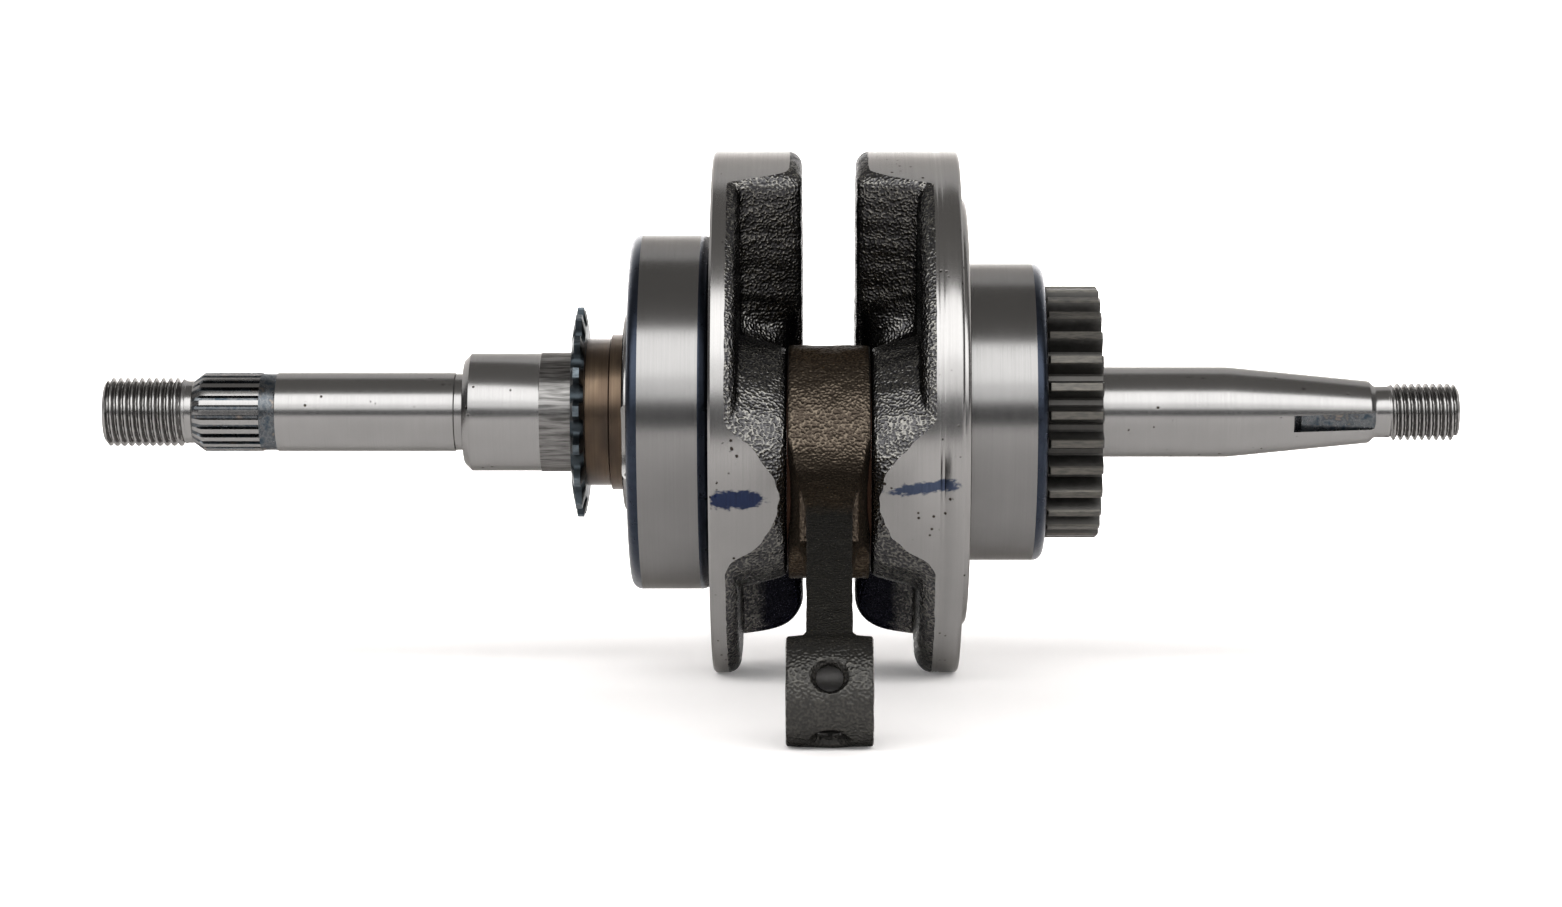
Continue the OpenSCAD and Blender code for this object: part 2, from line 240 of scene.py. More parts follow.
def rows_to_mesh(name, rows, kinds):
    """Skins rings of points round the X axis into one closed piece.

    rows is a list of (x, r, angle) arrays, from one end of the axis to the other. Each row may
    have fewer columns than the last by a whole factor. kinds gives each band's material index,
    or one for each of its columns.
    """
    verts, faces, marks, starts = [], [], [], []
    for x, r, angle in rows:
        starts.append((len(verts), len(angle)))
        points = np.column_stack([np.broadcast_to(x, angle.shape), r * np.cos(angle),
                                  r * np.sin(angle)])
        verts.extend(points)
    for i, kind in enumerate(kinds):
        (a, na), (b, nb) = starts[i], starts[i + 1]
        if na >= nb:
            step = na // nb
            for j in range(nb):
                far = [a + (j * step + s) % na for s in range(step + 1)]
                faces.append(far + [b + (j + 1) % nb, b + j])
                marks.append(kind if isinstance(kind, int) else kind[j])
        else:
            step = nb // na
            for j in range(na):
                near = [b + (j * step + s) % nb for s in range(step, -1, -1)]
                faces.append([a + j, a + (j + 1) % na] + near)
                marks.append(kind if isinstance(kind, int) else kind[j])
    for (start, count), kind, flip in ((starts[0], kinds[0], True), (starts[-1], kinds[-1], False)):
        ring = [start + j for j in range(count)]
        faces.append(ring[::-1] if flip else ring)
        marks.append(kind)
    piece = mesh_object(name, verts, faces, marks)
    outward(piece)
    return piece


def ring(x, r, count):
    angle = np.arange(count) * (2 * math.pi / count)
    return np.full(count, float(x)), np.full(count, float(r)), angle


def arc(cx, cr, radius, start, end, steps):
    """Points (x, r) on a quarter-round of an outline, angles in degrees from +X to +r."""
    for i in range(steps + 1):
        a = math.radians(start + (end - start) * i / steps)
        yield cx + radius * math.cos(a), cr + radius * math.sin(a)


def band(start, far, count):
    """The quads between two rings of vertices, given by the index each ring starts at."""
    for j in range(count):
        m = (j + 1) % count
        yield start + j, start + m, far + m, far + j


def revolve(name, outline, count=192, closed=True, kinds=None, sharp=35):
    """Spins an outline of (x, r) points round X. A closed outline makes a ring."""
    outline = list(outline)
    n = len(outline)
    angle = np.arange(count) * (2 * math.pi / count)
    cos, sin = np.cos(angle), np.sin(angle)
    verts = np.concatenate([
        np.column_stack([np.full(count, x), r * cos, r * sin]) for x, r in outline])
    faces, marks = [], []
    for i in range(n if closed else n - 1):
        faces += band(i * count, (i + 1) % n * count, count)
        marks += [kinds[i] if kinds else 0] * count
    if not closed:
        faces.append(tuple(range(count - 1, -1, -1)))
        faces.append(tuple((n - 1) * count + j for j in range(count)))
        marks += [marks[0], marks[-1]]
    piece = mesh_object(name, verts, faces, marks, sharp)
    outward(piece)
    return piece


def place_in_throw(piece):
    """Turns a piece made with its throw along -Y to the throw's rest direction."""
    piece.data.transform(Matrix.Rotation(THROW_DROP, 4, "X"))


# ---------------------------------------------------------------- the crank halves
FORGED, MACHINED, GROUND, BLUED, THREAD, SEAT = range(6)
WEB_COLUMNS = 750
SHAFT_COLUMNS = WEB_COLUMNS // 3


def web_height(r, angle, disc_x, disc_round, seed):
    """Distance of the web's inner face from the rod's middle plane, at polar points.

    It is the lowest of the thin disc, the counterweight and the pin boss, each with its draft,
    joined by forging fillets. The throw is at angle pi.
    """
    y, z = r * np.cos(angle), r * np.sin(angle)
    bumps = Waves(seed, 1.6, 5.0)(0 * y, y, z)
    pin = np.hypot(y + THROW, z)
    blank_r = WEB_R + 0.05
    upper = y * math.sin(WEIGHT_UP) - z * math.cos(WEIGHT_UP)
    lower = -y * math.sin(WEIGHT_DOWN) + z * math.cos(WEIGHT_DOWN)
    far = 99
    weight = smooth_max(np.where(z > 0, upper, -far), np.where(z <= 0, lower, -far), 1.0)
    weight = smooth_min(weight, WEB_R + 1.4 - r, 7.0)
    boss = BOSS_R - pin
    fillet = 8.5 + 5.5 * smooth_step((z + 5) / 10)
    inside = round_join(weight, boss, fillet) + 0.10 * bumps
    ramp = np.clip((pin - POCKET_IN_R) / (POCKET_R - POCKET_IN_R), 0, 1)
    ramp = 1 - np.sqrt(1 - ramp ** 2)
    level = BOSS_X - (BOSS_X - WEIGHT_X) * ramp
    on_weight = smooth_step((weight - boss + 1.5) / 3)
    from_end = np.where(z <= 0, lower, far)
    rounding = 2.5 + 3.0 * smooth_step((14 - from_end) / 12)
    level = level + on_weight * (corner(r, blank_r, rounding) + corner(-from_end, 0, 4.5))
    raised = level + DRAFT * soft_plus(-inside, 0.28)
    disc = disc_x + corner(r, blank_r, disc_round)
    height = smooth_min(raised, disc, 1.6)
    rough = np.where(pin < BOSS_R - 0.4, 0, 1)
    return height + 0.05 * rough * bumps


def web_rows(side, disc_x, disc_round, seed):
    """Rings of the inner face, from the axis out to the machined rim."""
    count = WEB_COLUMNS
    angle = np.arange(count) * (2 * math.pi / count)
    steps = 150
    rows = []
    for i in range(steps + 1):
        r = WEB_R * (0.01 + 0.99 * (i / steps) ** 0.9)
        r = np.full(count, r)
        rows.append((side * web_height(r, angle, disc_x, disc_round, seed), r, angle))
    return rows


def rim_rows(rows, side, fixed):
    """Rings of the machined rim: one halfway from the forged edge, then the (x, r) points."""
    x, _, angle = rows[-1]
    halfway = (x + side * fixed[0][0]) / 2
    first = (halfway, np.full(len(angle), WEB_R), angle)
    return [first] + fixed_rings([(side * fx, fr) for fx, fr in fixed], len(angle))


def thread_rows(start, end, crest_r, chamfer_at, chamfer_r):
    """Rings of a right-handed helical thread between two x positions.

    It runs out at the end position and is chamfered from chamfer_r at the x of chamfer_at. The
    half width of the root and the width of a flank are parts of the pitch.
    """
    per_pitch = 16
    root, flank = 0.06, 0.33
    count = SHAFT_COLUMNS
    angle = np.arange(count) * (2 * math.pi / count)
    steps = int(abs(end - start) / THREAD_PITCH * per_pitch)
    rows = []
    for i in range(steps + 1):
        x = start + (end - start) * i / steps
        phase = (x / THREAD_PITCH - angle / (2 * math.pi)) % 1.0
        tooth = np.clip((0.5 - np.abs(phase - 0.5) - root) / flank, 0, 1)
        run_out = min(1.0, abs(x - end) / (THREAD_PITCH * 0.8))
        r = crest_r - THREAD_DEPTH * (1 - tooth) * run_out - THREAD_DEPTH * 0.55 * (1 - run_out)
        top = chamfer_r + abs(x - chamfer_at) * 1.15
        r = np.minimum(r, top)
        rows.append((np.full(count, x), r, angle))
    return rows


def fixed_rings(points, count):
    return [ring(x, r, count) for x, r in points]


def spline_rows():
    """Rings of the serrated spline, and the finish of each column on its lands."""
    angle = np.arange(SHAFT_COLUMNS) * (2 * math.pi / SHAFT_COLUMNS)
    per_tooth = SHAFT_COLUMNS // SPLINE_TEETH
    land = np.arange(SHAFT_COLUMNS) % per_tooth < per_tooth * 0.55
    rows = []
    for x in (-99.2, -99.4, -102.0, -105.0, -108.0, -109.2, -109.8, -110.3, -110.7, -111.0):
        outer = min(SPLINE_R, 5.55 + (x + 111.1) * 0.72)
        root = min(outer, SPLINE_ROOT_R) if x < -99.25 else SPLINE_R
        rows.append((np.full(SHAFT_COLUMNS, x), np.where(land, outer, root), angle))
    lands = np.where(np.roll(land, -1) & land, GROUND, BLUED).tolist()
    return rows, lands


def cut_pin_hole(piece, finishes, start, end):
    """Bores the crankpin's hole between two x positions."""
    cutter = revolve("pin_cutter", [(start, PIN_R), (end, PIN_R)], 128, closed=False)
    finish_cut(cutter, finishes, MACHINED)
    cutter.data.transform(Matrix.Translation((0, -THROW * MM, 0)))
    cut(piece, cutter)


def make_left_half(finishes):
    rows = web_rows(-1, LEFT_WEB_OUT - LEFT_DISC, 2.5, 11)
    kinds = [FORGED] * (len(rows) - 1)
    rim = [(18.6, WEB_R), (19.6, WEB_R), (LEFT_WEB_OUT, WEB_R - 0.4)]
    rows += rim_rows(rows, -1, rim)
    kinds += [MACHINED] * (len(rim) + 1)
    side = [(-LEFT_WEB_OUT, 44.0), (-LEFT_WEB_OUT, 30.0), (-19.6, 24.5), (-19.6, 21.0)]
    rows += fixed_rings(side, WEB_COLUMNS)
    kinds += [MACHINED] * len(side)
    journal = [(-20.3, 20.6), (-20.3, 17.5), (-34.3, 17.5)]
    journal += list(arc(-34.7, 16.5, 1.0, 90, 180, 4))
    journal += [(-35.7, SEAT_R), (SEAT_X, SEAT_R), (-50.4, 10.33), (-62.5, 10.33),
                (-63.6, 9.25), (-63.7, 9.1), (-63.9, 6.7), (-65.2, 6.7), (-65.4, 6.9),
                (-80.0, 6.9), (-96.4, 6.9), (-96.7, 6.7), (-98.8, 6.7), (-99.1, SPLINE_R)]
    rows += fixed_rings(journal, SHAFT_COLUMNS)
    bands = [MACHINED] * 2 + [GROUND] * (len(journal) - 5) + [BLUED] * 3
    bands[journal.index((SEAT_X, SEAT_R))] = SEAT
    kinds += bands
    spline, lands = spline_rows()
    rows += spline
    kinds += [BLUED] + [lands] * (len(spline) - 1)
    neck = [(-111.2, 5.45), (-112.3, 5.45)]
    rows += fixed_rings(neck, SHAFT_COLUMNS)
    kinds += [GROUND] * len(neck)
    threads = thread_rows(-126.3, -112.4, 6.0, -126.7, 5.15)[::-1]
    centre = [(-126.7, 5.1), (-126.7, 2.4), (-124.9, 0.2)]
    rows += threads + fixed_rings(centre, SHAFT_COLUMNS)
    kinds += [THREAD] * (len(threads) + len(centre))
    piece = rows_to_mesh("left_crank_half_forging", rows, kinds)
    use(piece, *finishes)
    cut_pin_hole(piece, finishes, -40, -3)
    place_in_throw(piece)
    return piece


def make_right_half(finishes):
    rows = web_rows(1, RIGHT_WEB_OUT - RIGHT_DISC, 3.2, 23)
    kinds = [FORGED] * (len(rows) - 1)
    rim = [(18.1, WEB_R), (18.35, WEB_R - 0.12), (18.65, WEB_R - 0.05), (18.75, WEB_R - 0.05),
           (19.05, WEB_R - 0.12), (19.3, WEB_R), (21.8, WEB_R), (22.15, WEB_R - 0.15),
           (RIGHT_WEB_OUT, WEB_R - 0.5)]
    rows += rim_rows(rows, 1, rim)
    kinds += [MACHINED] * (len(rim) + 1)
    side = [(RIGHT_WEB_OUT, 38.4)] + list(arc(22.6, 36.2, 1.2, 90, 0, 5))
    side += [(23.8, 28.6), (23.3, 28.0), (21.65, 27.9), (21.65, 17.0), (22.25, 16.4)]
    rows += fixed_rings(side, WEB_COLUMNS)
    kinds += [MACHINED] * len(side)
    shaft = [(22.25, 12.5), (37.2, 12.5), (37.3, 10.0), (46.9, 10.0), (46.9, 7.9), (58.0, 7.9),
             (69.4, 7.9), (69.85, 7.88), (82.0, 6.68), (94.4, 5.46), (94.7, 5.3), (95.4, 4.6),
             (95.8, 4.5), (97.7, 4.5)]
    rows += fixed_rings(shaft, SHAFT_COLUMNS)
    kinds += [GROUND] * len(shaft)
    threads = thread_rows(109.7, 97.9, 5.0, 110.1, 4.15)[::-1]
    centre = [(110.1, 4.1), (110.1, 2.2), (108.4, 0.2)]
    rows += threads + fixed_rings(centre, SHAFT_COLUMNS)
    kinds += [THREAD] * (len(threads) + len(centre))
    piece = rows_to_mesh("right_crank_half_forging", rows, kinds)
    use(piece, *finishes)
    cut_pin_hole(piece, finishes, 3, 22.1)
    slot = keyway_cutter()
    finish_cut(slot, finishes, BLUED)
    cut(piece, slot)
    place_in_throw(piece)
    return piece


def finish_cut(cutter, finishes, kind):
    """Gives the faces a cutter leaves behind their own finish."""
    use(cutter, *finishes)
    cutter.data.polygons.foreach_set("material_index", [kind] * len(cutter.data.polygons))


def keyway_cutter():
    """A long box with a milled run-out at its inner end, over the taper towards -Y."""
    half, floor, top = 1.5, 4.6, 9.0
    outline = [(80.9, -top), (80.9, -6.0), (82.4, -floor), (96.5, -floor), (96.5, -top)]
    verts = [(x, y, z) for z in (-half, half) for x, y in outline]
    n = len(outline)
    faces = [tuple(range(n)), tuple(range(2 * n - 1, n - 1, -1))]
    faces += [(i, i + n, (i + 1) % n + n, (i + 1) % n) for i in range(n)]
    piece = mesh_object("keyway_cutter", verts, faces)
    outward(piece)
    return piece


# ---------------------------------------------------------------- the connecting rod
ROD_FORGED, ROD_MACHINED = range(2)
ROD_LENGTH = 100.0
BIG_R = 19.7
BIG_HALF = 6.85
SMALL_R = 8.15
SMALL_HALF = 6.4
RACE_R = 16.0
SMALL_BORE_R = mount_r("small_end_bore")
WASHER_SEAT_R = 18.0
WASHER_X = 5.95


def rod_field(x, u, v):
    """Signed distance of the rod: x across, u from the big end to the small end, v upwards."""
    bumps = Waves(5, 1.8, 6.0)(x, u, v)
    big_dist, small_dist = np.hypot(u, v), np.hypot(u - ROD_LENGTH, v)
    half_height = 6.4 - 0.8 * (u - 22) / 70
    shank = np.maximum(np.abs(v) - half_height, np.maximum(-u, u - ROD_LENGTH))
    crown = 0.25 * (x / SMALL_HALF) ** 2
    outline = smooth_min(big_dist - BIG_R, shank, 7.0)
    outline = smooth_min(outline, small_dist - SMALL_R + crown, 3.0) - 0.05 * bumps
    waist = [(16.9, BIG_HALF), (18.8, 6.2), (24, 5.2), (30, 4.4), (39, 3.75), (60, 3.5),
             (90, 3.5), (92, 4.2), (93.2, SMALL_HALF)]
    half_width = np.interp(u, [p[0] for p in waist], [p[1] for p in waist])
    width = np.abs(x) - half_width - 0.03 * bumps * (half_width < BIG_HALF - 0.3)
    rod = smooth_max(outline, width, 0.4)
    channel = np.maximum(np.abs(v) - (half_height - 2.2), np.maximum(27 - u, u - 86))
    channel = smooth_max(channel, 1.5 - np.abs(x), 1.2)
    rod = smooth_max(rod, -channel, 0.9)
    for a in (-40, 40):
        du, dv = math.cos(math.radians(a)), math.sin(math.radians(a))
        along = (u - ROD_LENGTH) * du + v * dv
        across = np.hypot(x, (u - ROD_LENGTH) * -dv + v * du)
        hole = np.maximum(across - 2.0, -along)
        sink = np.maximum(across - 2.0 - np.clip(along - SMALL_R + 1.3, 0, 2) * 0.75, 5 - along)
        rod = smooth_max(rod, -np.minimum(hole, sink), 0.25)
    cheek = np.maximum(WASHER_X - np.abs(x), big_dist - WASHER_SEAT_R)
    for bore in (big_dist - RACE_R, small_dist - SMALL_BORE_R, cheek):
        rod = smooth_max(rod, -bore, 0.25)
    return rod


def make_rod():
    voxel = 0.3
    low = np.array([-7.6, -20.8, -20.8])
    high = np.array([7.6, ROD_LENGTH + 9.4, 20.8])
    count = np.ceil((high - low) / voxel).astype(int) + 1
    axes = [low[i] + voxel * np.arange(count[i]) for i in range(3)]
    x, u, v = np.meshgrid(*axes, indexing="ij", sparse=True)
    grid = openvdb.FloatGrid()
    grid.copyFromArray(rod_field(x, u, v).astype(np.float32))
    points, quads = grid.convertToQuads(0.0)
    points = points * voxel + low
    x, u, v = points.T
    centre = points[quads].mean(axis=1)
    fx, fu, fv = centre.T
    big, small = np.hypot(fu, fv), np.hypot(fu - ROD_LENGTH, fv)
    machined = (big < RACE_R + 0.3) | (small < SMALL_BORE_R + 0.35)
    machined |= (np.abs(fx) > BIG_HALF - 0.15) | (big < WASHER_SEAT_R + 0.2) & (np.abs(fx) > 5.7)
    machined |= (np.abs(fx) > SMALL_HALF - 0.12) & (fu > 90)
    verts = np.column_stack([x, -THROW - u, v])
    piece = mesh_object("connecting_rod_forging", verts, quads.tolist(),
                        np.where(machined, ROD_MACHINED, ROD_FORGED).tolist(), sharp=60)
    outward(piece)
    add_field(piece, "along_rod", -vertex_points(piece)[:, 1] - THROW)
    place_in_throw(piece)
    return piece


# ---------------------------------------------------------------- gear, sprocket and rings
def toothed_ring(name, rows, kinds):
    """A closed ring of polar rows. Each row is (x, r array, angle array)."""
    count = len(rows[0][2])
    verts = np.concatenate([
        np.column_stack([np.full(count, float(x)), r * np.cos(a), r * np.sin(a)])
        for x, r, a in rows])
    faces, marks = [], []
    for i, kind in enumerate(kinds):
        faces += band(i * count, (i + 1) % len(rows) * count, count)
        marks += [kind] * count
    piece = mesh_object(name, verts, faces, marks, sharp=30)
    outward(piece)
    return piece


def gear_outline(teeth, tip_r):
    """Polar outline of a spur gear with rounded roots, one tooth pointing at angle pi."""
    half = math.pi / teeth
    tooth = [(-1.00, -3.35), (-0.80, -3.33), (-0.66, -3.1), (-0.555, -2.3), (-0.47, -1.5),
             (-0.385, -0.8), (-0.29, -0.12), (-0.26, 0.0)]
    tooth += [(-a, d) for a, d in reversed(tooth[1:])]
    angle, r = [], []
    for i in range(teeth):
        for a, depth in tooth:
            angle.append(math.pi + 2 * half * i + a * half)
            r.append(tip_r + depth)
    return np.array(angle), np.array(r)


def make_gear():
    low, high = node_box("drive_gear")
    left, right, tip = low[0], high[0], GEAR_TIP_R
    angle, r = gear_outline(GEAR_TEETH, tip)
    bore = np.full(len(r), 10.0)

    def cap(limit):
        return np.minimum(r, limit)

    rows = [(left, bore, angle), (left + 0.2, cap(14.0), angle), (left + 0.2, cap(15.5), angle),
            (left, cap(16.2), angle), (left, cap(tip - 0.4), angle), (left + 0.35, r, angle),
            (right - 0.35, r, angle), (right, cap(tip - 0.4), angle), (right, cap(16.2), angle),
            (right - 0.5, cap(15.6), angle), (right - 0.5, cap(12.4), angle),
            (right, cap(12.0), angle), (right, bore + 0.3, angle), (right - 0.3, bore, angle)]
    return toothed_ring("drive_gear_teeth", rows, [0] * len(rows))


def sprocket_outline(teeth, pitch_r, tip_r):
    """Polar outline with a round roller gullet between teeth; a tooth points 2 degrees up."""
    step = 2 * math.pi / teeth
    edge = math.asin(CHAIN_ROLLER_R / pitch_r)
    profile = []
    for t in np.linspace(-1, 1, 15):
        d = edge * math.sin(t * math.pi / 2) * 0.985
        root = math.sqrt(max(CHAIN_ROLLER_R ** 2 - (pitch_r * math.sin(d)) ** 2, 0))
        profile.append((d, pitch_r * math.cos(d) - root))
    land = 0.37 * step
    profile = [(-land, tip_r)] + profile + [(land, tip_r)]
    start = math.pi - math.radians(2.0) + step / 2
    points = [(start + i * step + d, r) for i in range(teeth) for d, r in profile]
    return np.array([p[0] for p in points]), np.array([p[1] for p in points])


def make_sprocket():
    low, high = node_box("timing_sprocket")
    left, hub = low[0], high[0]
    right = left + SPROCKET_THICK
    pitch_r = CHAIN_PITCH / 2 / math.sin(math.pi / SPROCKET_TEETH)
    angle, r = sprocket_outline(SPROCKET_TEETH, pitch_r, SPROCKET_TIP_R)

    def full(radius):
        return np.full(len(angle), radius)

    def cap(limit):
        return np.minimum(r, limit)

    rows = [(left, full(10.5), angle), (left, full(13.0), angle), (left, cap(15.4), angle),
            (left + 0.62, r, angle), (right - 0.62, r, angle), (right, cap(15.4), angle),
            (right, full(13.0), angle), (right + 0.1, full(12.85), angle),
            (-40.2, full(12.85), angle), (-38.15, full(12.85), angle), (-37.85, full(13.6), angle),
            (hub, full(13.6), angle), (hub, full(10.5), angle)]
    kinds = [0] * 7 + [1] * 5 + [0]
    return toothed_ring("timing_sprocket_and_hub", rows, kinds)


BEARING_GROUND, BEARING_BLUED, BEARING_TRACK = range(3)


def make_outer_ring(name, node, ball_circle, ball, left_kind):
    """An outer ring with rounded corners and its ball track."""
    low, high = node_box(node)
    a, b, r = low[0], high[0], high[2]
    c = 1.75
    middle, land = (a + b) / 2, ball_circle + ball * LAND
    outline = [(a, land + 0.4), (a, r - c)] + list(arc(a + c, r - c, c, 180, 90, 7))[1:]
    outline += [(a + c + 0.15, r), (b - c - 0.15, r)] + list(arc(b - c, r - c, c, 90, 0, 7))
    outline += [(b, land + 0.4), (b - 0.4, land)]
    track = [(middle + ball * TRACK_R * math.sin(t), ball_circle + ball * TRACK_R * math.cos(t))
             for t in np.linspace(0.9, -0.9, 15)]
    outline += track + [(a + 0.4, land)]
    kinds = []
    for i, (x, radius) in enumerate(outline):
        nx, nr = outline[(i + 1) % len(outline)]
        on_rim = radius > r - 0.01 and nr > r - 0.01 and abs(nx - x) > 2
        in_track = radius < land + 3 and nr < r - c - 0.5 and a + 0.3 < x < b - 0.3
        corner_kind = left_kind if x < middle else BEARING_BLUED
        kinds.append(BEARING_GROUND if on_rim else BEARING_TRACK if in_track else corner_kind)
    return revolve(name, outline, 256, kinds=kinds, sharp=30)


def make_inner_ring(name, node, ball_circle, ball, bore):
    low, high = node_box(node)
    a, b = low[0], high[0]
    middle, land, c = (a + b) / 2, ball_circle - ball * LAND, 0.8
    outline = [(a + c, bore), (a, bore + c), (a, land - 0.5)]
    outline += list(arc(a + 0.5, land - 0.5, 0.5, 180, 90, 3))[1:]
    outline += [(middle + ball * TRACK_R * math.sin(t), ball_circle - ball * TRACK_R * math.cos(t))
                for t in np.linspace(-0.9, 0.9, 15)]
    outline += list(arc(b - 0.5, land - 0.5, 0.5, 90, 0, 3)) + [(b, bore + c), (b - c, bore)]
    return revolve(name, outline, 192, sharp=30)


def make_balls(name, middle, ball_circle, ball, count):
    bm = bmesh.new()
    for i in range(count):
        a = 2 * math.pi * i / count
        place = Matrix.Translation((middle * MM, ball_circle * MM * math.cos(a),
                                    ball_circle * MM * math.sin(a)))
        bmesh.ops.create_icosphere(bm, subdivisions=3, radius=(ball / 2 - 0.04) * MM, matrix=place)
    mesh = bpy.data.meshes.new(name)
    bm.to_mesh(mesh)
    bm.free()
    mesh.polygons.foreach_set("use_smooth", [True] * len(mesh.polygons))
    piece = bpy.data.objects.new(name, mesh)
    bpy.context.scene.collection.objects.link(piece)
    return piece


# ---------------------------------------------------------------- materials
class Nodes:
    """A new node material with short ways to add and join its nodes."""

    def __init__(self, name):
        self.material = bpy.data.materials.new(name)
        self.material.use_nodes = True
        self.tree = self.material.node_tree
        self.shader = self.tree.nodes["Principled BSDF"]
        self.coords = self.tree.nodes.new("ShaderNodeTexCoord").outputs["Object"]

    def link(self, a, b):
        self.tree.links.new(a, b)

    def set(self, **values):
        for key, value in values.items():
            self.shader.inputs[key.replace("_", " ")].default_value = value

    def scaled(self, x, y, z):
        node = self.tree.nodes.new("ShaderNodeMapping")
        node.inputs["Scale"].default_value = (x, y, z)
        self.link(self.coords, node.inputs["Vector"])
        return node.outputs["Vector"]

    def noise(self, vector, scale=1.0, detail=3.0, rough=0.55):
        node = self.tree.nodes.new("ShaderNodeTexNoise")
        node.inputs["Scale"].default_value = scale
        node.inputs["Detail"].default_value = detail
        node.inputs["Roughness"].default_value = rough
        self.link(vector, node.inputs["Vector"])
        return node.outputs["Fac"]

    def cells(self, vector, scale):
        node = self.tree.nodes.new("ShaderNodeTexVoronoi")
        node.inputs["Scale"].default_value = scale
        self.link(vector, node.inputs["Vector"])
        return node.outputs["Distance"]

    def ramp(self, value, *stops):
        node = self.tree.nodes.new("ShaderNodeValToRGB")
        ramp = node.color_ramp
        while len(ramp.elements) < len(stops):
            ramp.elements.new(0.5)
        for element, (position, color) in zip(ramp.elements, stops):
            element.position = position
            element.color = (*color, 1)
        self.link(value, node.inputs["Fac"])
        return node.outputs["Color"]

    def mix(self, factor, a, b):
        node = self.tree.nodes.new("ShaderNodeMix")
        node.data_type = "RGBA"
        for socket, value in (("Factor", factor), ("A", a), ("B", b)):
            target = [s for s in node.inputs if s.name == socket and s.enabled][0]
            if isinstance(value, bpy.types.NodeSocket):
                self.link(value, target)
            else:
                target.default_value = value if socket == "Factor" else (*value, 1)
        return [s for s in node.outputs if s.enabled][0]

    def math(self, operation, *values):
        node = self.tree.nodes.new("ShaderNodeMath")
        node.operation = operation
        for socket, value in zip(node.inputs, values):
            if isinstance(value, bpy.types.NodeSocket):
                self.link(value, socket)
            else:
                socket.default_value = value
        return node.outputs["Value"]

    def field(self, name):
        node = self.tree.nodes.new("ShaderNodeAttribute")
        node.attribute_name = name
        return node.outputs["Fac"]

    def bump(self, height, distance):
        node = self.tree.nodes.new("ShaderNodeBump")
        node.inputs["Distance"].default_value = distance * MM
        node.inputs["Strength"].default_value = 1.0
        self.link(height, node.inputs["Height"])
        self.link(node.outputs["Normal"], self.shader.inputs["Normal"])

    def color(self, socket):
        self.link(socket, self.shader.inputs["Base Color"])

    def roughness(self, socket):
        self.link(socket, self.shader.inputs["Roughness"])


BLACK = (0, 0, 0)
WHITE = (1, 1, 1)
STEEL_TINT = (0.45, 0.44, 0.43, 1)


def grey(v, warm=0.0):
    return (v * (1 + warm), v, v * (1 - warm))


def scaled_color(color, factor):
    return tuple(factor * c for c in color)


def ground_steel(name, shade, roughness, lines, depth, pits=0.0, ink=False, warm=0.015):
    """Steel turned or ground round the X axis: fine rings, faint stains and a few pits."""
    n = Nodes(name)
    n.set(Metallic=1.0, Specular_Tint=STEEL_TINT)
    rings = n.noise(n.scaled(lines * 1000, 25, 25), detail=4.0, rough=0.7)
    stain = n.noise(n.coords, scale=120.0, detail=4.0)
    color = n.mix(stain, grey(shade * 0.90, warm), grey(shade * 1.10, warm))
    color = n.mix(n.ramp(rings, (0.35, BLACK), (0.75, (0.22, 0.22, 0.22))), color,
                  grey(shade * 0.72, warm))
    height = rings
    if pits:
        spots = n.cells(n.coords, 640.0)
        gate = n.noise(n.coords, scale=150.0, detail=2.0)
        gate = n.ramp(gate, (0.61 - pits, BLACK), (0.64 - pits, WHITE))
        hole = n.ramp(spots, (0.12, WHITE), (0.20, BLACK))
        hole = n.math("MULTIPLY", hole, gate)
        color = n.mix(hole, color, (0.03, 0.022, 0.018))
        height = n.math("SUBTRACT", rings, n.math("MULTIPLY", hole, 6.0))
    if ink:
        edge = n.noise(n.scaled(900, 1500, 1500), detail=3.0)
        ragged = n.math("MULTIPLY", n.math("SUBTRACT", edge, 0.5), 0.9)
        reach = n.math("ADD", n.field("ink"), ragged)
        mask = n.ramp(reach, (0.42, BLACK), (0.60, WHITE))
        thin = n.noise(n.scaled(2500, 300, 300), detail=2.0)
        deep = n.mix(thin, (0.004, 0.008, 0.030), (0.010, 0.024, 0.080))
        pale = n.mix(thin, (0.018, 0.030, 0.065), (0.060, 0.080, 0.125))
        blue = n.mix(n.field("ink_cover"), pale, deep)
        cover = n.math("MULTIPLY", mask, 0.94)
        color = n.mix(cover, color, blue)
    n.color(color)
    n.roughness(n.math("MULTIPLY_ADD", rings, 0.16, roughness - 0.08))
    n.bump(height, depth)
    return n.material


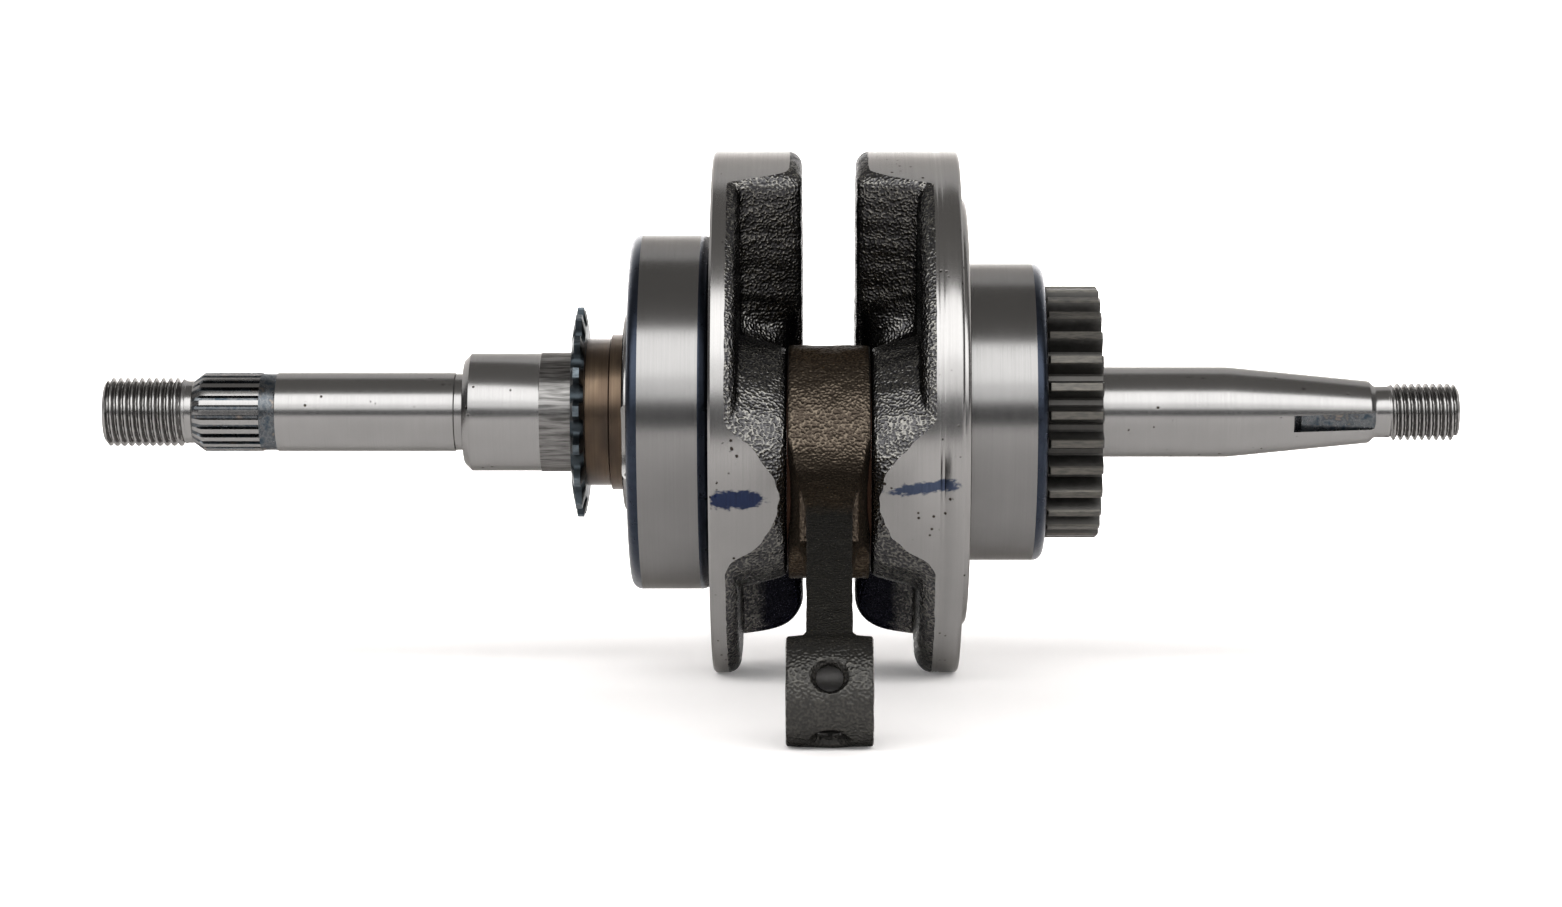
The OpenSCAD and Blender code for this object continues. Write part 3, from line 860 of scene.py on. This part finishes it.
def forged_skin(name, dark, light, depth, roughness, brown=None):
    """Shot-blasted forging: a dark oxide skin over a grain of shallow dents with bright crests.

    A field of painted shade blackens it where the counterweight's lower end faces down. With two browns given, it
    is brown instead up to 40% of the rod's length, which the field "along_rod" counts in millimetres.
    """
    n = Nodes(name)
    n.set(Metallic=1.0, Specular_Tint=(0.3, 0.3, 0.3, 1))
    dents = n.noise(n.coords, scale=2300.0, detail=0.0)
    broad = n.noise(n.coords, scale=420.0, detail=3.0)
    grain = n.math("ADD", dents, n.math("MULTIPLY", broad, 0.4))
    crest = n.ramp(grain, (0.62, BLACK), (0.90, WHITE))
    color = n.mix(crest, dark, light)
    if brown:
        along = n.math("DIVIDE", n.field("along_rod"), ROD_LENGTH)
        wander = n.math("MULTIPLY", n.math("SUBTRACT", broad, 0.5), 0.10)
        near = n.ramp(n.math("ADD", along, wander), (0.36, WHITE), (0.43, BLACK))
        color = n.mix(near, color, n.mix(crest, brown[0], brown[1]))
    else:
        # Painted shade: the field darkens the skin to near black on the downward lower end.
        color = n.mix(n.field("underside_shade"), color, (0.013, 0.013, 0.018))
    n.color(color)
    n.roughness(n.math("MULTIPLY_ADD", crest, -0.14, roughness))
    n.bump(grain, depth)
    return n.material


def scored_steel(name):
    """A press-fit seat: duller steel with short scores along the axis."""
    n = Nodes(name)
    n.set(Metallic=1.0, Roughness=0.30, Specular_Tint=STEEL_TINT)
    scores = n.noise(n.scaled(160, 1700, 1700), detail=3.0)
    bright = n.ramp(scores, (0.40, BLACK), (0.62, WHITE))
    n.color(n.mix(bright, (0.085, 0.083, 0.080), (0.21, 0.205, 0.20)))
    n.bump(scores, 0.02)
    return n.material


def stained_steel(name):
    """Steel beside a heat-treated seat: cloudy blue, grey and brown oxide."""
    n = Nodes(name)
    n.set(Metallic=1.0, Specular_Tint=(0.5, 0.5, 0.5, 1))
    cloud = n.noise(n.coords, scale=330.0, detail=4.0, rough=0.7)
    n.color(n.ramp(cloud, (0.36, (0.040, 0.055, 0.070)), (0.48, (0.115, 0.120, 0.125)),
                   (0.56, (0.060, 0.070, 0.080)), (0.66, (0.165, 0.140, 0.120))))
    n.roughness(n.ramp(cloud, (0.3, grey(0.34)), (0.7, grey(0.2))))
    n.bump(cloud, 0.02)
    return n.material


def dark_steel(name, shade, roughness, tint, wear=None, wear_at=0.6):
    """Heat-treated dark steel with a mottled oxide and, where asked, worn lighter crests."""
    n = Nodes(name)
    n.set(Metallic=1.0)
    mottle = n.noise(n.coords, scale=700.0, detail=4.0)
    a = tuple(shade * t * 0.75 for t in tint)
    b = tuple(shade * t * 1.3 for t in tint)
    color = n.mix(mottle, a, b)
    if wear:
        patch = n.ramp(n.field("wear"), (wear_at, BLACK), (wear_at + 0.1, WHITE))
        scuff = n.ramp(n.noise(n.scaled(500, 2500, 2500), detail=3.0), (0.3, BLACK),
                       (0.6, WHITE))
        color = n.mix(n.math("MULTIPLY", patch, scuff), color, wear)
    n.color(color)
    n.roughness(n.math("MULTIPLY_ADD", mottle, 0.2, roughness - 0.1))
    n.bump(n.noise(n.coords, scale=1800.0, detail=3.0), 0.03)
    return n.material


def plain_metal(name, color, roughness, depth=0.004):
    """Even metal with a faint mottle."""
    n = Nodes(name)
    n.set(Metallic=1.0)
    mottle = n.noise(n.coords, scale=900.0, detail=3.0)
    n.color(n.mix(mottle, scaled_color(color, 0.85), scaled_color(color, 1.1)))
    n.roughness(n.math("MULTIPLY_ADD", mottle, 0.12, roughness - 0.06))
    n.bump(mottle, depth)
    return n.material


def heat_tint(name):
    """The hub's oxide film: brown and straw bands over turned rings."""
    n = Nodes(name)
    n.set(Metallic=1.0, Roughness=0.34)
    rings = n.noise(n.scaled(3000, 20, 20), detail=4.0, rough=0.7)
    patch = n.noise(n.scaled(160, 60, 60), detail=2.0)
    film = n.ramp(patch, (0.30, (0.050, 0.040, 0.032)), (0.50, (0.105, 0.075, 0.052)),
                  (0.62, (0.150, 0.110, 0.075)), (0.78, (0.060, 0.048, 0.040)))
    dark = n.ramp(rings, (0.3, BLACK), (0.7, (0.55, 0.55, 0.55)))
    n.color(n.mix(dark, film, (0.05, 0.035, 0.028)))
    n.bump(rings, 0.02)
    return n.material


def floor_material():
    """White floor that glows faintly in front and more where it runs back behind the object: painted light that
    fills the object's shadow and the falloff there.
    """
    n = Nodes("studio_floor")
    n.set(Roughness=0.9)
    shade = n.noise(n.coords, scale=3.0, detail=1.0)
    n.color(n.mix(shade, (0.92, 0.90, 0.89), (0.93, 0.91, 0.90)))
    # Painted light: the emission rises with Y and lifts the shadow and falloff behind the object to white.
    axes = n.tree.nodes.new("ShaderNodeSeparateXYZ")
    n.link(n.coords, axes.inputs["Vector"])
    shadow_fill_glow = n.tree.nodes.new("ShaderNodeMapRange")
    shadow_fill_glow.interpolation_type = "SMOOTHSTEP"
    for name, value in (("From Min", 0.02), ("From Max", 0.24), ("To Min", 0.12), ("To Max", 0.8)):
        shadow_fill_glow.inputs[name].default_value = value
    n.link(axes.outputs["Y"], shadow_fill_glow.inputs["Value"])
    n.link(shadow_fill_glow.outputs["Result"], n.shader.inputs["Emission Strength"])
    n.set(Emission_Color=(1, 1, 1, 1))
    return n.material


def use(piece, *materials):
    if piece.data.materials:
        piece.data.materials.clear()
    for m in materials:
        piece.data.materials.append(m)


def vertex_points(piece):
    flat = np.empty(len(piece.data.vertices) * 3)
    piece.data.vertices.foreach_get("co", flat)
    return flat.reshape(-1, 3) / MM


def add_field(piece, name, values):
    field = piece.data.attributes.new(name, "FLOAT", "POINT")
    field.data.foreach_set("value", np.asarray(values, dtype=np.float32))


def ink_stroke(piece, x0, x1, low, high, slant, half, cover):
    """Stores how deep each rim point lies in a felt-pen stroke from x0 to x1.

    It runs from the angle low to the angle high, in degrees below the -Y direction, bowed by
    slant. Half is half its width in millimetres, and cover says how dark the ink is. The
    material draws its ragged edge.
    """
    p = vertex_points(piece)
    angle = np.degrees(np.arctan2(-p[:, 2], -p[:, 1]))
    t = np.clip((p[:, 0] - x0) / (x1 - x0), 0, 1)
    centre = low + (high - low) * t + slant * np.sin(t * math.pi)
    across = np.abs(angle - centre) * math.pi / 180 * WEB_R
    beyond = np.maximum(x0 - p[:, 0], p[:, 0] - x1)
    dist = half - np.hypot(across, np.maximum(beyond + half, 0) * (beyond > -half))
    on_rim = np.hypot(p[:, 1], p[:, 2]) > WEB_R - 0.3
    add_field(piece, "ink", np.clip(0.5 + dist * 0.5, 0, 1) * on_rim)
    add_field(piece, "ink_cover", np.full(len(p), cover))


def paint_underside_shade(piece):
    """Marks the lowest inner faces, at the counterweight's lower end, for painted shade: near black."""
    p = vertex_points(piece)
    low = smooth_step((-UNDERSIDE_SHADE_Z - p[:, 2]) / 0.8)
    add_field(piece, "underside_shade", low * smooth_step((12.6 - np.abs(p[:, 0])) / 0.8))


# ---------------------------------------------------------------- making the pieces
LEFT_STROKE = {"x0": -19.6, "x1": -11.6, "low": 17.1, "high": 17.1, "slant": -0.3, "half": 1.6,
               "cover": 1.0}
RIGHT_STROKE = {"x0": 8.6, "x1": 21.9, "low": 15.9, "high": 13.5, "slant": -0.35, "half": 0.95,
                "cover": 0.25}


def make_crank_halves():
    web_rim = ground_steel("machined_rim_steel", 0.28, 0.22, 3.0, 0.004, pits=0.05, ink=True,
                           warm=0.02)
    shaft = ground_steel("ground_shaft_steel", 0.26, 0.22, 4.0, 0.005, pits=0.02)
    blued = stained_steel("heat_stained_steel")
    thread = ground_steel("cut_thread_steel", 0.28, 0.26, 2.0, 0.003)
    skin = forged_skin("forged_web_skin", (0.058, 0.057, 0.059), (0.165, 0.160, 0.147), 0.22, 0.32)
    common = (skin, web_rim, shaft, blued, thread)
    seat = scored_steel("scored_seat_steel")
    halves = (("left_crank_half", make_left_half, common + (seat,), LEFT_STROKE),
              ("right_crank_half", make_right_half, common, RIGHT_STROKE))
    for node, make, finishes, stroke in halves:
        piece = make(finishes)
        ink_stroke(piece, **stroke)
        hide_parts(node)
        paint_underside_shade(piece)
        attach(piece, "crankshaft")


def make_rod_piece():
    rod = make_rod()
    browns = ((0.052, 0.041, 0.032), (0.105, 0.086, 0.066))
    use(rod, forged_skin("rod_forging", (0.044, 0.043, 0.041), (0.062, 0.060, 0.055), 0.22, 0.44,
                         browns),
        ground_steel("rod_machined_steel", 0.16, 0.30, 2.0, 0.004))
    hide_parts("connecting_rod")
    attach(rod, "rod")


def add_wear(piece, from_r):
    """Marks the tooth tips, where the oxide is worn."""
    p = vertex_points(piece)
    add_field(piece, "wear", (np.hypot(p[:, 1], p[:, 2]) > from_r).astype(float))


def make_wheels():
    gear = make_gear()
    add_wear(gear, 21.9)
    use(gear, dark_steel("gear_oxide_steel", 0.075, 0.50, (1.03, 1, 0.95), (0.125, 0.118, 0.105)))
    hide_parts("drive_gear")
    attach(gear, "crankshaft")

    sprocket = make_sprocket()
    add_wear(sprocket, 18.3)
    use(sprocket, dark_steel("sprocket_black_steel", 0.04, 0.38, (0.8, 0.97, 1.1),
                             (0.11, 0.13, 0.145), 0.75), heat_tint("hub_heat_tint"))
    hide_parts("timing_sprocket")
    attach(sprocket, "crankshaft")


def make_bearings(ball_steel, ring_steel, ring_blue, track):
    for side, circle, ball, count, bore in BEARINGS:
        node = side + "_bearing_outer_ring"
        left_kind = BEARING_BLUED if side == "left" else BEARING_GROUND
        outer = make_outer_ring(node + "_ground", node, circle, ball, left_kind)
        use(outer, ring_steel, ring_blue, track)
        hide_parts(node)
        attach(outer, side + "_outer_ring")
        node = side + "_bearing_inner_ring"
        inner = make_inner_ring(node + "_ground", node, circle, ball, bore)
        use(inner, ring_steel)
        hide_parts(node)
        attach(inner, "crankshaft")
        low, high = node_box(node)
        balls = make_balls(side + "_bearing_ball_row", (low[0] + high[0]) / 2, circle, ball, count)
        use(balls, ball_steel)
        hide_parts(side + "_bearing_balls")
        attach(balls, side + "_ball_set")


def finish_inner_parts(ball_steel):
    """Finishes the CAD nodes that keep their own mesh, all inside the big end and bearings."""
    cage = plain_metal("pressed_cage_steel", (0.26, 0.24, 0.21), 0.30, depth=0.006)
    bronze = plain_metal("washer_bronze", (0.040, 0.021, 0.014), 0.45)
    pin = ground_steel("ground_pin_steel", 0.30, 0.24, 5.0, 0.002)
    finishes = {"crank_pin": pin, "crank_pin_plug": pin, "big_end_rollers": ball_steel,
                "big_end_cage": cage, "left_thrust_washer": bronze, "right_thrust_washer": bronze}
    for side in ("left", "right"):
        for part in ("cage_left", "cage_right", "rivets"):
            finishes[side + "_bearing_" + part] = cage
    for node, finish in finishes.items():
        use(frame["nodes"][node], finish)


def make_pieces():
    make_crank_halves()
    make_rod_piece()
    make_wheels()
    ring_steel = ground_steel("bearing_ring_steel", 0.205, 0.22, 6.0, 0.003)
    ring_blue = dark_steel("bearing_oiled_corner", 0.035, 0.30, (0.75, 0.92, 1.3))
    track = plain_metal("bearing_track_steel", (0.6, 0.6, 0.6), 0.15)
    ball_steel = plain_metal("polished_ball_steel", (0.72, 0.72, 0.73), 0.08, depth=0.001)
    make_bearings(ball_steel, ring_steel, ring_blue, track)
    finish_inner_parts(ball_steel)


# ---------------------------------------------------------------- studio
CAMERA_DISTANCE = 707.0
CAMERA_RISE = math.radians(2.2)
SENSOR_WIDTH = 36.0
VIEW_WIDTH = 274.1
AIM = (-0.7, 0.0, -7.3)
CENTRE_X = -8.4
FLOOR_FRONT = -0.3


def make_camera():
    data = bpy.data.cameras.new("camera")
    data.sensor_width = SENSOR_WIDTH
    data.lens = SENSOR_WIDTH * CAMERA_DISTANCE / VIEW_WIDTH
    data.shift_x = (CENTRE_X - AIM[0]) / VIEW_WIDTH
    data.clip_start, data.clip_end = 0.01, 50
    camera = bpy.data.objects.new("camera", data)
    bpy.context.scene.collection.objects.link(camera)
    back = Vector((0, -math.cos(CAMERA_RISE), math.sin(CAMERA_RISE)))
    camera.location = (Vector(AIM) + back * CAMERA_DISTANCE) * MM
    camera.rotation_euler = (-back).to_track_quat("-Z", "Y").to_euler()
    bpy.context.scene.camera = camera


def area_light(name, location, target, width, height, power):
    data = bpy.data.lights.new(name, "AREA")
    data.shape = "RECTANGLE"
    data.size, data.size_y = width, height
    data.energy = power
    light = bpy.data.objects.new(name, data)
    bpy.context.scene.collection.objects.link(light)
    light.location = location
    direction = Vector(target) - Vector(location)
    light.rotation_euler = direction.to_track_quat("-Z", "Y").to_euler()


def swept_strip(name, profile):
    """A strip of floor, 10 m wide, along a profile of (y, z) points in metres."""
    verts = [(x / MM, y / MM, z / MM) for x in (-5, 5) for y, z in profile]
    n = len(profile)
    faces = [(i, i + 1, n + i + 1, n + i) for i in range(n - 1)]
    strip = mesh_object(name, verts, faces, sharp=80)
    use(strip, floor_material())
    return strip


def make_floor():
    """A pale floor that sweeps up into a backdrop, in metres.

    The strip in front is kept out of the metal's reflections, like a floor flagged off with
    black card below the lens.
    """
    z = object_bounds()[0][2]
    bend, bend_y = 0.8, 1.2
    sweep = [(bend_y + bend * math.sin(a), z + bend * (1 - math.cos(a)))
             for a in np.linspace(0, math.pi / 2, 12)]
    swept_strip("studio_floor", [(FLOOR_FRONT, z)] + sweep + [(2.0, z + 4.0)])
    front = swept_strip("studio_floor_front", [(-5.0, z), (FLOOR_FRONT, z)])
    front.visible_glossy = False
    front.visible_diffuse = False


def softbox(name, rise, spread, power):
    """A wide front softbox seen from the object between two elevations, in degrees."""
    distance, width = 1.1, 4.0
    height = 2 * distance * math.tan(math.radians(spread))
    a = math.radians(rise)
    place = (0, -distance * math.cos(a), distance * math.sin(a))
    area_light(name, place, (0, 0, 0), width, height, power)


def make_world():
    """A dim room: darkest at the horizon, lighter overhead."""
    world = bpy.data.worlds.new("studio")
    world.use_nodes = True
    tree = world.node_tree
    coords = tree.nodes.new("ShaderNodeTexCoord")
    axes = tree.nodes.new("ShaderNodeSeparateXYZ")
    ramp = tree.nodes.new("ShaderNodeValToRGB")
    ramp.color_ramp.elements[0].position = 0.0
    ramp.color_ramp.elements[0].color = (0.13, 0.13, 0.135, 1)
    ramp.color_ramp.elements[1].position = 0.9
    ramp.color_ramp.elements[1].color = (0.26, 0.25, 0.24, 1)
    tree.links.new(coords.outputs["Generated"], axes.inputs["Vector"])
    tree.links.new(axes.outputs["Z"], ramp.inputs["Fac"])
    tree.links.new(ramp.outputs["Color"], tree.nodes["Background"].inputs["Color"])
    bpy.context.scene.world = world


def make_lights():
    softbox("softbox_upper", 39.5, 15.5, 26)
    softbox("softbox_lower", 16.5, 7.5, 8)
    area_light("backdrop_light", (0, 1.2, 0.75), (0, 2.0, 0.05), 3.5, 0.3, 32)
    make_world()
    bpy.context.scene.view_settings.view_transform = "Standard"


make_camera()
make_pieces()
make_floor()
make_lights()
